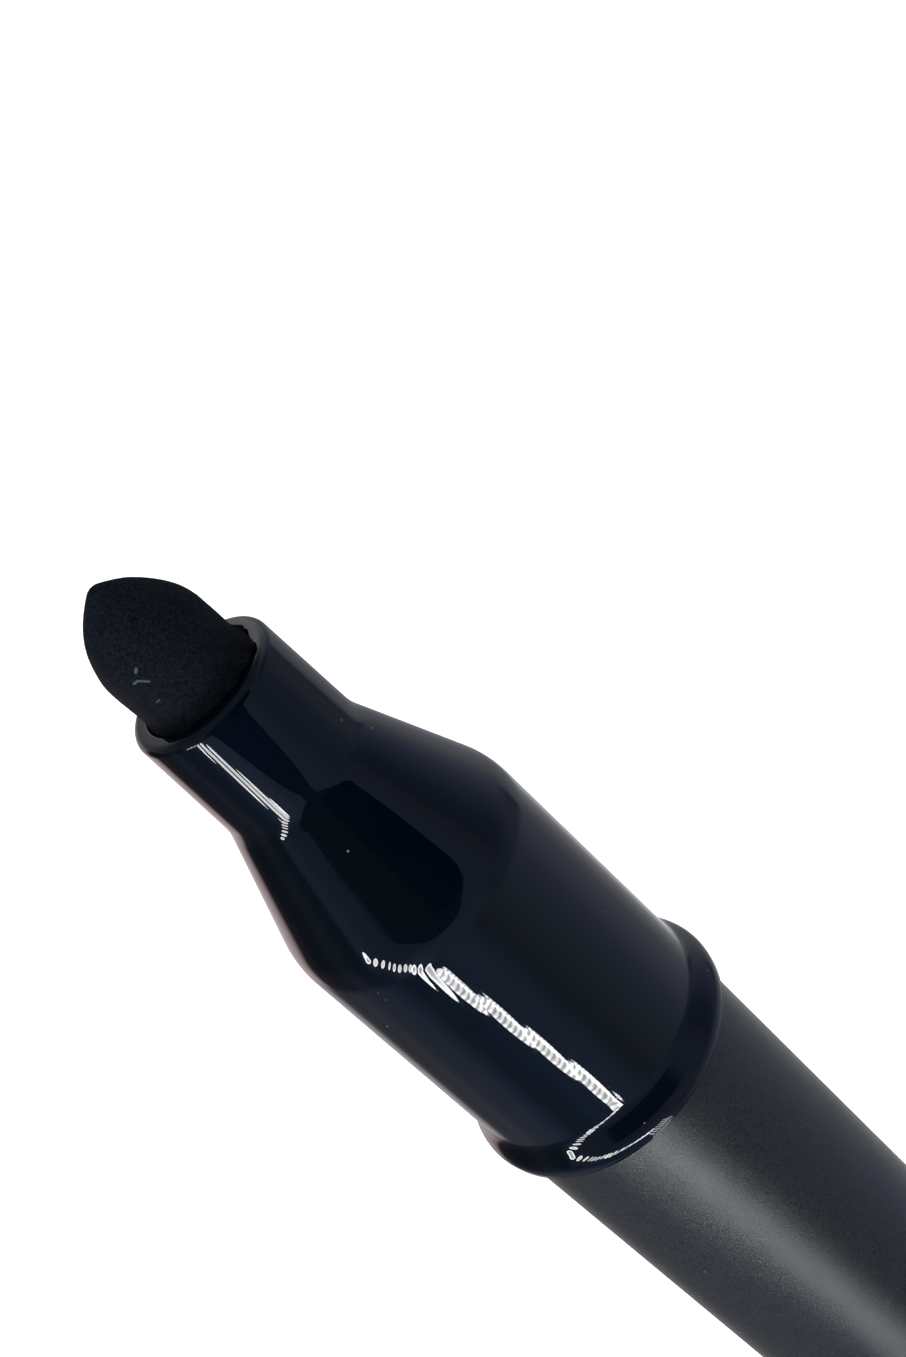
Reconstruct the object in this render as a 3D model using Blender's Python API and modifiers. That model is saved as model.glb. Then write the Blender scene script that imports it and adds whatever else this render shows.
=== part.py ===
"""Twist-up cushion pen for eyebrows, built as the assembly of its real pieces.

Metres, +Z towards the tip. The pen stands upright with its cap posted on the tail, and the origin is the
middle of the cap's flat closed end. Turning the knob drives the lead screw forward through a fixed nut. The
screw pushes a piston up the cartridge, and the piston pushes liquid tint through the nose to the sponge tip.
"""

import math

import bmesh
import bpy
from mathutils import Matrix, Vector

MM = 0.001

# Outside of the pen
barrel_diameter = 12.0 * MM
barrel_wall = 0.8 * MM
nose_step = 0.05 * MM
nose_taper = 0.14 * MM
flange_rim = 0.6 * MM
flange_flare = 0.9 * MM
nose_cylinder_height = 13.55 * MM
shoulder_height = 6.7 * MM
neck_height = 5.7 * MM
neck_diameter = 7.06 * MM
neck_taper = 0.14 * MM
sponge_diameter = 5.0 * MM
sponge_collar = 2.2 * MM
sponge_point = 3.68 * MM

# Cap and the inner cup that seals round the neck
cap_clearance = 0.05 * MM
cap_wall = 0.5 * MM
cap_end_wall = 1.2 * MM
liner_clearance = 0.1 * MM
liner_wall = 0.6 * MM
liner_floor = 0.8 * MM
liner_foot = 1.5 * MM
liner_overlap = 4.6 * MM
tip_clearance = 1.5 * MM

# Inside the nose
nose_wall = 1.2 * MM
nose_ledge = 1.5 * MM
spigot_length = 4.5 * MM
spigot_wall = 0.9 * MM
sponge_root = 5.2 * MM
holder_collar = 3.6 * MM
holder_stem = 5.2 * MM
holder_stem_wall = 0.6 * MM
holder_passage = 0.9 * MM
spike_length = 3.2 * MM
spike_diameter = 2.0 * MM
feed_tube_diameter = 1.6 * MM
feed_tube_wall = 0.4 * MM
feed_socket = 3.6 * MM

# Cartridge, its stopper and the piston
cartridge_wall = 0.7 * MM
plug_height = 4.0 * MM
plug_flange = 1.0 * MM
plug_nipple = 5.4 * MM
nipple_wall = 0.65 * MM
o_ring_section = 0.72 * MM
piston_travel = 22.0 * MM
tint_left = 1.5 * MM
piston_length = 6.5 * MM
piston_lip = 1.2 * MM
piston_waist = 0.4 * MM
piston_dish = 0.8 * MM
piston_setback = 1.0 * MM

# Lead screw and its nut
screw_core_diameter = 2.7 * MM
thread_height = 0.45 * MM
screw_pitch = 2.75 * MM
screw_flat_depth = 0.1 * MM
screw_neck_diameter = 1.9 * MM
screw_head_diameter = 3.0 * MM
screw_head_height = 1.0 * MM
head_catch = 0.55 * MM
thread_clearance = 0.15 * MM
guide_thread = 6.0 * MM
guide_skirt = 8.5 * MM
guide_skirt_wall = 0.9 * MM

# Knob, its drive and the ratchet
knob_wall = 1.0 * MM
knob_plug_disc = 1.2 * MM
knob_plug_spigot = 2.8 * MM
knob_plug_wall = 1.0 * MM
screw_end_clearance = 1.0 * MM
drive_press = 5.75 * MM
drive_neck_reach = 12.0 * MM
drive_hole = 8.25 * MM
drive_clearance = 0.2 * MM
drive_bead = 0.45 * MM
drive_bead_height = 0.6 * MM
bush_height = 4.0 * MM
ratchet_height = 3.0 * MM
ratchet_teeth = 18
ratchet_tooth = 0.4 * MM
ratchet_rim = 0.35 * MM
pawl_count = 3
pawl_hub_wall = 0.5 * MM
pawl_slot = 0.17 * MM
pawl_thickness = 0.22 * MM
pawl_nose = 0.13 * MM

# Clearances between pieces
seat_gap = 0.25 * MM
press_gap = 0.1 * MM
slide_gap = 0.05 * MM
turn_gap = 0.08 * MM

# Edges and roundness
edge = 0.15 * MM
rim_edge = 0.2 * MM
soft_edge = 0.4 * MM
shoulder_blend = 5.0 * MM
neck_blend = 3.0 * MM
outer_steps = 40
inner_steps = 24
arc_step = math.radians(30)

# Radii that follow
barrel_radius = barrel_diameter / 2
barrel_bore = barrel_radius - barrel_wall
insert_radius = barrel_bore - press_gap
nose_base_radius = barrel_radius + nose_step
nose_top_radius = nose_base_radius - nose_taper
cap_bore = nose_base_radius + cap_clearance
cap_radius = cap_bore + cap_wall
flange_radius = cap_radius
neck_radius = neck_diameter / 2
mouth_radius = neck_radius - neck_taper
sponge_radius = sponge_diameter / 2
nose_bore = sponge_radius + press_gap
cartridge_bore = insert_radius - cartridge_wall
feed_tube_radius = feed_tube_diameter / 2
feed_bore = feed_tube_radius - feed_tube_wall
socket_radius = feed_tube_radius + slide_gap
passage_radius = holder_passage / 2
core_radius = screw_core_diameter / 2
thread_radius = core_radius + thread_height
knob_bore = barrel_radius - knob_wall
ratchet_root = insert_radius - ratchet_rim
ratchet_crest = ratchet_root - ratchet_tooth
finger_tip = ratchet_crest - turn_gap
finger_outer = finger_tip - pawl_nose
finger_inner = finger_outer - pawl_thickness
pawl_hub = finger_inner - pawl_slot
drive_radius = pawl_hub - pawl_hub_wall - slide_gap

# Heights on the nose, above the plane where its flange meets the barrel
flange_top = flange_rim + flange_flare
cylinder_top = flange_top + nose_cylinder_height
neck_base = cylinder_top + shoulder_height
mouth = neck_base + neck_height
sponge_shoulder = mouth + sponge_collar
tip = sponge_shoulder + sponge_point
sponge_base = mouth - sponge_root
collar_base = sponge_base - seat_gap - holder_collar
ledge_top = collar_base - seat_gap
stem_base = ledge_top - holder_stem

# Heights along the whole pen, from the closed end of the cap
cap_length = tip - flange_rim + tip_clearance + liner_floor + seat_gap + cap_end_wall
liner_base = cap_end_wall + seat_gap
liner_mouth = cap_length - (mouth - liner_overlap - flange_rim)
tail_end = liner_mouth + seat_gap
knob_base = tail_end + knob_plug_disc + seat_gap
screw_rear = tail_end + knob_plug_disc + knob_plug_spigot + screw_end_clearance
barrel_base = screw_rear + piston_travel - screw_end_clearance + seat_gap
knob_top = barrel_base - seat_gap
drive_base = knob_top - seat_gap - drive_press
drive_top = barrel_base + drive_neck_reach
ratchet_base = barrel_base + bush_height + seat_gap
pawl_base = ratchet_base + drive_bead_height + seat_gap
guide_base = ratchet_base + ratchet_height + seat_gap
guide_top = guide_base + guide_skirt + guide_thread
cartridge_base = guide_top + seat_gap
piston_base = cartridge_base + piston_setback
piston_top = piston_base + piston_length
tint_base = piston_top + seat_gap
tint_top = tint_base + piston_travel + tint_left
plug_base = tint_top + seat_gap
cartridge_top = plug_base + plug_height
plug_flange_base = cartridge_top + seat_gap
plug_flange_top = plug_flange_base + plug_flange
plug_top = plug_flange_top + plug_nipple
spigot_base = plug_flange_top + seat_gap
flange_plane = spigot_base + spigot_length
barrel_top = flange_plane - seat_gap
feed_base = plug_top - feed_socket + seat_gap
feed_top = flange_plane + stem_base + feed_socket - seat_gap
thread_base = guide_base + guide_skirt - piston_travel - screw_pitch / 4
thread_top = guide_top + screw_pitch / 4


def new_collection(name, hidden=False):
    made = bpy.data.collections.new(name)
    made.hide_render = hidden
    bpy.context.scene.collection.children.link(made)
    return made


def plastic(name, color, roughness, transmission=0.0):
    made = bpy.data.materials.new(name)
    made.use_nodes = True
    shader = made.node_tree.nodes["Principled BSDF"]
    shader.inputs["Base Color"].default_value = (*color, 1)
    shader.inputs["Roughness"].default_value = roughness
    shader.inputs["Metallic"].default_value = 0
    shader.inputs["Transmission Weight"].default_value = transmission
    made.diffuse_color = (*color, 1)
    return made


def moving_frame(name, height, carrier=None):
    """An empty on the pen's axis that carries the pieces of one moving body."""
    frame = bpy.data.objects.new(name, None)
    frame.empty_display_size = barrel_radius
    parts.objects.link(frame)
    frame.location.z = height
    if carrier:
        carried(frame, carrier)
    bpy.context.view_layer.update()
    return frame


def carried(obj, frame):
    """Parents obj to a body's frame and leaves it where it stands."""
    obj.parent = frame
    obj.location.z -= frame.matrix_world.translation.z
    return obj


def rounded(corners):
    """Adds an arc at each corner that names a radius, and a chamfer where the radius is the plain edge."""
    points = []
    for index, corner in enumerate(corners):
        here = Vector(corner[:2])
        if len(corner) == 2:
            points.append(tuple(here))
            continue
        before = Vector(corners[index - 1][:2]) - here
        after = Vector(corners[(index + 1) % len(corners)][:2]) - here
        half = before.angle(after) / 2
        reach = min(corner[2] / math.tan(half), 0.48 * before.length, 0.48 * after.length)
        middle = (before.normalized() + after.normalized()).normalized()
        centre = here + middle * reach / math.cos(half)
        start = here + before.normalized() * reach - centre
        end = here + after.normalized() * reach - centre
        sweep = math.copysign(math.pi - 2 * half, start.x * end.y - start.y * end.x)
        count = 1 if corner[2] == edge else max(2, math.ceil(abs(sweep) / arc_step))
        for step in range(count + 1):
            spoke = Matrix.Rotation(sweep * step / count, 2) @ start
            points.append(tuple(centre + spoke))
    return points


def turned(name, corners, finish, at=0.0, steps=inner_steps, into=None):
    """Spins a profile of (radius, height) about the axis: a solid where it starts on the axis, or a ring."""
    points = rounded(corners)
    edges = [(index, index + 1) for index in range(len(points) - 1)]
    if points[0][0] > 0:
        edges.append((len(points) - 1, 0))
    mesh = bpy.data.meshes.new(name)
    mesh.from_pydata([(radius, 0, height) for radius, height in points], edges, [])
    if finish:
        mesh.materials.append(finish)
    obj = bpy.data.objects.new(name, mesh)
    obj.location.z = at
    (into or parts).objects.link(obj)
    turn = obj.modifiers.new("Turn", "SCREW")
    turn.axis = "Z"
    turn.steps = steps
    turn.render_steps = steps
    turn.use_merge_vertices = True
    turn.merge_threshold = 0.01 * MM
    return obj


def boolean(obj, operation, other):
    step = obj.modifiers.new(f"{operation.title()} {other.name}", "BOOLEAN")
    step.operation = operation
    step.solver = "EXACT"
    step.object = other


def helper(obj):
    """Marks a shape that only cuts or joins a piece."""
    obj.hide_render = True
    obj.display_type = "WIRE"
    return obj


def as_mesh(curve_object, into):
    """Replaces a curve object with the closed mesh that it draws."""
    bpy.context.view_layer.update()
    graph = bpy.context.evaluated_depsgraph_get()
    mesh = bpy.data.meshes.new_from_object(curve_object.evaluated_get(graph))
    shape = bmesh.new()
    shape.from_mesh(mesh)
    bmesh.ops.remove_doubles(shape, verts=shape.verts, dist=0.01 * MM)
    bmesh.ops.recalc_face_normals(shape, faces=shape.faces)
    shape.to_mesh(mesh)
    shape.free()
    name = curve_object.name
    made = bpy.data.objects.new(name, mesh)
    made.matrix_world = curve_object.matrix_world
    bpy.data.objects.remove(curve_object)
    made.name = name
    into.objects.link(made)
    return made


def thread_bar(name, bar_radius, low, high):
    """A round bar wound on the screw's core at its pitch, between two heights of the pen."""
    curve = bpy.data.curves.new(name, "CURVE")
    curve.dimensions = "3D"
    curve.bevel_depth = bar_radius
    curve.bevel_resolution = 1
    curve.use_fill_caps = True
    points_per_turn = 12
    count = math.ceil((high - low) / screw_pitch * points_per_turn)
    spline = curve.splines.new("POLY")
    spline.points.add(count)
    for index, point in enumerate(spline.points):
        height = low + (high - low) * index / count
        x, y = around(core_radius, 2 * math.pi * height / screw_pitch)
        point.co = (x, y, height, 1)
    bar = bpy.data.objects.new(name, curve)
    cutters.objects.link(bar)
    return helper(as_mesh(bar, cutters))


def flat_bars(name, between, reach, low, high):
    """Two blocks either side of the axis along Y, whose inner faces leave the given width between them."""
    bars = []
    for word, side in (("left", -1), ("right", 1)):
        bpy.ops.mesh.primitive_cube_add(size=1)
        bar = bpy.context.object
        bar.name = f"{name}_{word}"
        for holder in list(bar.users_collection):
            holder.objects.unlink(bar)
        cutters.objects.link(bar)
        bar.data.transform(Matrix.Diagonal((2 * reach, reach, high - low, 1)))
        bar.location = (0, side * (between / 2 + reach / 2), (low + high) / 2)
        bars.append(helper(bar))
    return bars


def flat_plate(name, outlines, thickness, finish, at):
    """A flat piece with square edges. Outlines after the first are holes in it."""
    curve = bpy.data.curves.new(name, "CURVE")
    curve.dimensions = "2D"
    curve.fill_mode = "BOTH"
    curve.extrude = thickness / 2
    for outline in outlines:
        spline = curve.splines.new("POLY")
        spline.points.add(len(outline) - 1)
        spline.use_cyclic_u = True
        for point, (x, y) in zip(spline.points, outline):
            point.co = (x, y, 0, 1)
    curve.materials.append(finish)
    plate = bpy.data.objects.new(name, curve)
    plate.location.z = at + thickness / 2
    parts.objects.link(plate)
    return as_mesh(plate, parts)


def around(radius, angle):
    return radius * math.cos(angle), radius * math.sin(angle)


def circle(radius, steps):
    return [around(radius, 2 * math.pi * index / steps) for index in range(steps)]


def arc(radius, start, end, steps):
    return [around(radius, start + (end - start) * index / steps) for index in range(steps + 1)]


def smooth(obj):
    """Fixes the modifiers into the mesh and shades it round, with its hard edges kept sharp."""
    bpy.context.view_layer.update()
    graph = bpy.context.evaluated_depsgraph_get()
    mesh = bpy.data.meshes.new_from_object(obj.evaluated_get(graph))
    obj.modifiers.clear()
    obj.data = mesh
    mesh.name = obj.name
    mesh.shade_smooth()
    mesh.set_sharp_from_angle(angle=math.radians(38))


for old in list(bpy.data.objects):
    bpy.data.objects.remove(old, do_unlink=True)
parts = new_collection("Cushion pen")
cutters = new_collection("Cutters", hidden=True)

satin_black = plastic("satin black plastic", (0.03, 0.03, 0.034), 0.42)
gloss_black = plastic("gloss black plastic", (0.008, 0.009, 0.013), 0.06)
black_foam = plastic("black sponge", (0.014, 0.016, 0.024), 0.95)
white_plastic = plastic("natural white plastic", (0.78, 0.78, 0.75), 0.38)
clear_plastic = plastic("clear plastic", (0.8, 0.83, 0.84), 0.12, transmission=0.8)
grey_plastic = plastic("grey working plastic", (0.36, 0.37, 0.39), 0.4)
seal_rubber = plastic("seal rubber", (0.06, 0.06, 0.065), 0.75)
brow_tint = plastic("brow tint", (0.045, 0.024, 0.014), 0.3)

cap_frame = moving_frame("cap_frame", 0)
barrel_frame = moving_frame("barrel_frame", barrel_base, cap_frame)
knob_frame = moving_frame("knob_frame", knob_base, barrel_frame)
screw_frame = moving_frame("screw_frame", screw_rear, knob_frame)
piston_frame = moving_frame("piston_frame", piston_base, barrel_frame)

# Cap: a straight cup as wide as the nose's flange, so that the closed pen is flush
cap_shell = turned(
    "cap_shell",
    [
        (0, cap_end_wall),
        (cap_bore, cap_end_wall, edge),
        (cap_bore, cap_length, edge),
        (cap_radius, cap_length, edge),
        (cap_radius, 0, soft_edge),
        (0, 0),
    ],
    satin_black,
    steps=outer_steps,
)

# Inner cup of the cap: it closes round the neck and keeps the sponge moist
liner_height = liner_mouth - liner_base
liner_bore = neck_radius + liner_clearance
cap_liner = turned(
    "cap_liner",
    [
        (0, liner_floor),
        (liner_bore, liner_floor, soft_edge),
        (liner_bore, liner_height, edge),
        (liner_bore + liner_wall, liner_height, edge),
        (liner_bore + liner_wall, liner_foot, soft_edge),
        (cap_bore - press_gap, liner_foot, edge),
        (cap_bore - press_gap, 0, edge),
        (0, 0),
    ],
    white_plastic,
    at=liner_base,
    steps=outer_steps,
)

# Plug that closes the knob's rear end
knob_end_plug = turned(
    "knob_end_plug",
    [
        (0, knob_plug_disc),
        (knob_bore - press_gap - knob_plug_wall, knob_plug_disc),
        (knob_bore - press_gap - knob_plug_wall, knob_plug_disc + knob_plug_spigot),
        (knob_bore - press_gap, knob_plug_disc + knob_plug_spigot, edge),
        (knob_bore - press_gap, knob_plug_disc),
        (barrel_radius, knob_plug_disc, edge),
        (barrel_radius, 0, soft_edge),
        (0, 0),
    ],
    gloss_black,
    at=tail_end,
    steps=outer_steps,
)

# Knob: the tube at the tail that the fingers turn
knob_height = knob_top - knob_base
knob_shell = turned(
    "knob_shell",
    [
        (barrel_radius, knob_height, edge),
        (barrel_radius, 0, edge),
        (knob_bore, 0),
        (knob_bore, knob_height, edge),
    ],
    satin_black,
    at=knob_base,
    steps=outer_steps,
)

# Drive: pressed into the knob, snapped through the bush, with a flatted hole that turns the screw
drive_height = drive_top - drive_base
neck_seat = knob_top - drive_base - seat_gap
bead_low = ratchet_base - drive_base
bead_high = bead_low + drive_bead_height
knob_drive = turned(
    "knob_drive",
    [
        (0, drive_height),
        (drive_radius, drive_height, edge),
        (drive_radius, bead_high),
        (drive_radius + drive_bead, bead_high, edge),
        (drive_radius + drive_bead, bead_low, edge),
        (drive_radius, bead_low),
        (drive_radius, neck_seat, edge),
        (knob_bore - press_gap, neck_seat, edge),
        (knob_bore - press_gap, 0, edge),
        (thread_radius + drive_clearance, 0),
        (thread_radius + drive_clearance, drive_height - drive_hole),
        (0, drive_height - drive_hole),
    ],
    white_plastic,
    at=drive_base,
)
hole_radius = thread_radius + thread_clearance
hole_low = drive_top - drive_hole - screw_end_clearance
hole_high = drive_top + screw_end_clearance
drive_hole_bar = turned(
    "drive_hole_bar",
    [(0, hole_high), (hole_radius, hole_high), (hole_radius, hole_low), (0, hole_low)],
    None,
    into=cutters,
)
across_flats = 2 * (core_radius - screw_flat_depth)
hole_flats = across_flats + 2 * turn_gap
for bar in flat_bars("hole_flat", hole_flats, 2 * hole_radius, hole_low - edge, hole_high + edge):
    boolean(drive_hole_bar, "DIFFERENCE", bar)
boolean(knob_drive, "DIFFERENCE", helper(drive_hole_bar))

# Pawl ring: three springy fingers on the drive that click over the ratchet's teeth
finger_sweep = math.radians(72)
root_sweep = math.radians(12)
pawl_outline = []
for index in range(pawl_count):
    root = 2 * math.pi * index / pawl_count
    next_root = root + 2 * math.pi / pawl_count
    pawl_outline += arc(finger_outer, root, root + finger_sweep, 5)
    pawl_outline.append(around(finger_tip, root + finger_sweep + root_sweep / 2))
    pawl_outline += arc(finger_inner, root + finger_sweep, root + root_sweep, 5)
    pawl_outline += arc(pawl_hub, root + root_sweep, next_root - root_sweep / 4, 7)
pawl_ring = flat_plate(
    "pawl_ring",
    [pawl_outline, circle(drive_radius + slide_gap, inner_steps)],
    ratchet_base + ratchet_height - pawl_base,
    grey_plastic,
    at=pawl_base,
)

# Bush: fills the barrel's tail, bears the drive's neck and holds its snap bead
tail_bush = turned(
    "tail_bush",
    [
        (insert_radius, bush_height, edge),
        (insert_radius, 0, edge),
        (drive_radius + turn_gap, 0, edge),
        (drive_radius + turn_gap, bush_height, edge),
    ],
    grey_plastic,
    at=barrel_base,
)

# Ratchet ring: saw teeth inside the barrel, so that the knob turns one way with a click
tooth_angle = 2 * math.pi / ratchet_teeth
saw_outline = []
for index in range(ratchet_teeth):
    saw_outline.append(around(ratchet_root, index * tooth_angle))
    saw_outline.append(around(ratchet_crest, (index + 0.9) * tooth_angle))
ratchet_ring = flat_plate(
    "ratchet_ring",
    [circle(insert_radius, inner_steps), saw_outline],
    ratchet_height,
    grey_plastic,
    at=ratchet_base,
)

# Screw guide: the fixed nut, with a skirt over the end of the drive's neck
guide_height = guide_skirt + guide_thread
nut_bore = core_radius + thread_clearance
screw_guide = turned(
    "screw_guide",
    [
        (nut_bore, guide_height, edge),
        (insert_radius, guide_height, edge),
        (insert_radius, 0, edge),
        (insert_radius - guide_skirt_wall, 0),
        (insert_radius - guide_skirt_wall, guide_skirt),
        (nut_bore, guide_skirt),
    ],
    white_plastic,
    at=guide_base,
)
groove = thread_bar(
    "guide_groove",
    thread_height + thread_clearance,
    guide_base + guide_skirt - screw_pitch / 2,
    guide_top + screw_pitch / 2,
)
boolean(screw_guide, "DIFFERENCE", groove)

# Lead screw: a flatted rod with a coarse round thread and a head that snaps into the piston
screw_height = piston_base - seat_gap - screw_rear
head_low = screw_height + seat_gap + head_catch + seat_gap
head_high = head_low + screw_head_height
lead_screw = turned(
    "lead_screw",
    [
        (0, head_high),
        (screw_head_diameter / 2, head_high, soft_edge),
        (screw_head_diameter / 2, head_low),
        (screw_neck_diameter / 2, head_low),
        (screw_neck_diameter / 2, screw_height),
        (core_radius, screw_height, edge),
        (core_radius, 0, soft_edge),
        (0, 0),
    ],
    white_plastic,
    at=screw_rear,
)
boolean(lead_screw, "UNION", thread_bar("screw_thread", thread_height, thread_base, thread_top))
flats_top = thread_top + screw_pitch / 4
for bar in flat_bars("screw_flat", across_flats, 2 * thread_radius, screw_rear - seat_gap, flats_top):
    boolean(lead_screw, "DIFFERENCE", bar)

# Piston: two wiping lips, a dished face and a socket for the screw's head
piston_radius = cartridge_bore - slide_gap
socket_height = head_high - screw_height
piston = turned(
    "piston",
    [
        (0, piston_length - piston_dish),
        (piston_radius - 2 * piston_waist, piston_length - piston_dish, soft_edge),
        (piston_radius - piston_waist / 2, piston_length),
        (piston_radius, piston_length),
        (piston_radius, piston_length - piston_lip),
        (piston_radius - piston_waist, piston_length - piston_lip - piston_waist),
        (piston_radius - piston_waist, piston_lip + piston_waist),
        (piston_radius, piston_lip),
        (piston_radius, 0, edge),
        (screw_neck_diameter / 2 + press_gap, 0),
        (screw_neck_diameter / 2 + press_gap, head_catch),
        (screw_head_diameter / 2 + press_gap, head_catch),
        (screw_head_diameter / 2 + press_gap, socket_height),
        (0, socket_height),
    ],
    white_plastic,
    at=piston_base,
)

# Cartridge: the clear tube that holds the tint
cartridge_height = cartridge_top - cartridge_base
cartridge = turned(
    "cartridge",
    [
        (insert_radius, cartridge_height, edge),
        (insert_radius, 0, edge),
        (cartridge_bore, 0, edge),
        (cartridge_bore, cartridge_height, edge),
    ],
    clear_plastic,
    at=cartridge_base,
)

# Tint: the liquid between the piston and the stopper
tint_charge = turned(
    "tint_charge",
    [
        (0, tint_top - tint_base),
        (cartridge_bore - slide_gap, tint_top - tint_base, edge),
        (cartridge_bore - slide_gap, 0, edge),
        (0, 0),
    ],
    brow_tint,
    at=tint_base,
)

# Stopper: closes the cartridge, carries the seal ring and takes the feed tube in its nipple
o_ring_radius = o_ring_section / 2
o_ring_middle = cartridge_bore - slide_gap - o_ring_radius
groove_floor = o_ring_middle - o_ring_radius - slide_gap
groove_low = plug_height / 2 - o_ring_radius - press_gap
groove_high = plug_height / 2 + o_ring_radius + press_gap
plug_radius = cartridge_bore - press_gap
flange_low = plug_flange_base - plug_base
nipple_top = plug_top - plug_base
cartridge_plug = turned(
    "cartridge_plug",
    [
        (socket_radius, nipple_top),
        (socket_radius + nipple_wall, nipple_top, edge),
        (socket_radius + nipple_wall, flange_low + plug_flange),
        (insert_radius, flange_low + plug_flange, edge),
        (insert_radius, flange_low, edge),
        (plug_radius, flange_low),
        (plug_radius, groove_high),
        (groove_floor, groove_high),
        (groove_floor, groove_low),
        (plug_radius, groove_low),
        (plug_radius, 0, soft_edge),
        (passage_radius, 0),
        (passage_radius, nipple_top - feed_socket),
        (socket_radius, nipple_top - feed_socket),
    ],
    white_plastic,
    at=plug_base,
)

# Seal ring: in the stopper's groove
bpy.ops.mesh.primitive_torus_add(
    major_radius=o_ring_middle,
    minor_radius=o_ring_radius,
    major_segments=inner_steps,
    minor_segments=8,
    location=(0, 0, plug_base + plug_height / 2),
)
plug_o_ring = bpy.context.object
plug_o_ring.name = "plug_o_ring"
plug_o_ring.data.materials.append(seal_rubber)
for holder in list(plug_o_ring.users_collection):
    holder.objects.unlink(plug_o_ring)
parts.objects.link(plug_o_ring)

# Feed tube: carries the tint from the stopper to the tip holder
feed_height = feed_top - feed_base
feed_tube = turned(
    "feed_tube",
    [
        (feed_tube_radius, feed_height),
        (feed_tube_radius, 0),
        (feed_bore, 0),
        (feed_bore, feed_height),
    ],
    clear_plastic,
    at=feed_base,
)

# Barrel: the long satin tube
barrel_height = barrel_top - barrel_base
barrel_shell = turned(
    "barrel_shell",
    [
        (barrel_radius, barrel_height, edge),
        (barrel_radius, 0, edge),
        (barrel_bore, 0, edge),
        (barrel_bore, barrel_height, edge),
    ],
    satin_black,
    at=barrel_base,
    steps=outer_steps,
)

# Nose cone: one gloss moulding from the mouth's rim to the spigot inside the barrel
flare = [
    (
        flange_radius - (flange_radius - nose_base_radius) * math.cos(math.pi / 2 * step / 4),
        flange_top - flange_flare * math.sin(math.pi / 2 * step / 4),
    )
    for step in range(4)
]
stem_hole = socket_radius + holder_stem_wall + press_gap
cavity_radius = barrel_bore - slide_gap - spigot_wall
cavity_top = cylinder_top - nose_wall
nose_cone = turned(
    "nose_cone",
    [
        (nose_bore, mouth, rim_edge),
        (mouth_radius, mouth, rim_edge),
        (neck_radius, neck_base, neck_blend),
        (nose_top_radius, cylinder_top, shoulder_blend),
        *flare,
        (flange_radius, flange_rim, edge),
        (flange_radius, 0, edge),
        (barrel_bore - slide_gap, 0),
        (barrel_bore - slide_gap, -spigot_length, edge),
        (cavity_radius, -spigot_length),
        (cavity_radius, cavity_top, nose_wall),
        (stem_hole, ledge_top - nose_ledge),
        (stem_hole, ledge_top),
        (nose_bore, ledge_top),
    ],
    gloss_black,
    at=flange_plane,
    steps=outer_steps,
)

# Tip holder: sits on the ledge inside the neck, with a spike glued into the sponge
spike_radius = spike_diameter / 2
holder_base = flange_plane + stem_base
collar_low = collar_base - stem_base
collar_high = collar_low + holder_collar
tip_holder = turned(
    "tip_holder",
    [
        (passage_radius, collar_high + spike_length),
        (spike_radius, collar_high + spike_length, soft_edge),
        (spike_radius, collar_high),
        (sponge_radius, collar_high, edge),
        (sponge_radius, collar_low, edge),
        (socket_radius + holder_stem_wall, collar_low),
        (socket_radius + holder_stem_wall, 0, edge),
        (socket_radius, 0),
        (socket_radius, feed_socket),
        (passage_radius, feed_socket),
    ],
    white_plastic,
    at=holder_base,
)

# Sponge tip: a soft pointed pad, round where it enters the mouth
point_fullness = 1.97
point_bluntness = 0.895
point_steps = 9
sponge_profile = [(0, tip - sponge_base)]
for step in range(point_steps - 1, -1, -1):
    rise = math.sin(math.pi / 2 * step / point_steps)
    radius = sponge_radius * (1 - rise**point_fullness) ** point_bluntness
    sponge_profile.append((radius, sponge_shoulder + sponge_point * rise - sponge_base))
hole_depth = spike_length + seat_gap
sponge_tip = turned(
    "sponge_tip",
    [
        *sponge_profile,
        (sponge_radius, 0, soft_edge),
        (spike_radius + press_gap, 0),
        (spike_radius + press_gap, hole_depth),
        (0, hole_depth),
    ],
    black_foam,
    at=flange_plane + sponge_base,
    steps=outer_steps,
)

assembly = {
    cap_frame: [cap_shell, cap_liner],
    knob_frame: [knob_shell, knob_end_plug, knob_drive, pawl_ring],
    screw_frame: [lead_screw],
    piston_frame: [piston],
    barrel_frame: [
        barrel_shell,
        tail_bush,
        ratchet_ring,
        screw_guide,
        cartridge,
        tint_charge,
        cartridge_plug,
        plug_o_ring,
        feed_tube,
        nose_cone,
        tip_holder,
        sponge_tip,
    ],
}
for frame, pieces in assembly.items():
    for piece in pieces:
        smooth(piece)
        carried(piece, frame)
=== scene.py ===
import math

import bpy
import numpy as np
from mathutils import Matrix, Vector, noise


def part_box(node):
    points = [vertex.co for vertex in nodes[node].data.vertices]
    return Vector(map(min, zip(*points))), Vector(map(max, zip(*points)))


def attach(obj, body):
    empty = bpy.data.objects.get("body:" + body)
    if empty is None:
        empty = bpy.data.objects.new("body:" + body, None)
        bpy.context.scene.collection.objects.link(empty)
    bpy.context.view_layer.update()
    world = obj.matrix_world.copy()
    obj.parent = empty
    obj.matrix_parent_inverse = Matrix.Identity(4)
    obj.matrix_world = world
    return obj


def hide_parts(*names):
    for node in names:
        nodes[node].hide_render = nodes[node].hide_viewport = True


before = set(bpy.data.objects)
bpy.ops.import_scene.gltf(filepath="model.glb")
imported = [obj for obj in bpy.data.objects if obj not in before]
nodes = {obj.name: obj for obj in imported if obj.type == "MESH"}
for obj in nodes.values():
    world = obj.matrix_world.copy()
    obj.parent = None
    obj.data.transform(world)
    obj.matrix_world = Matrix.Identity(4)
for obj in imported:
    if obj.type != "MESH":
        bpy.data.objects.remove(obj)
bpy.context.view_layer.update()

MM = 0.001


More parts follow.
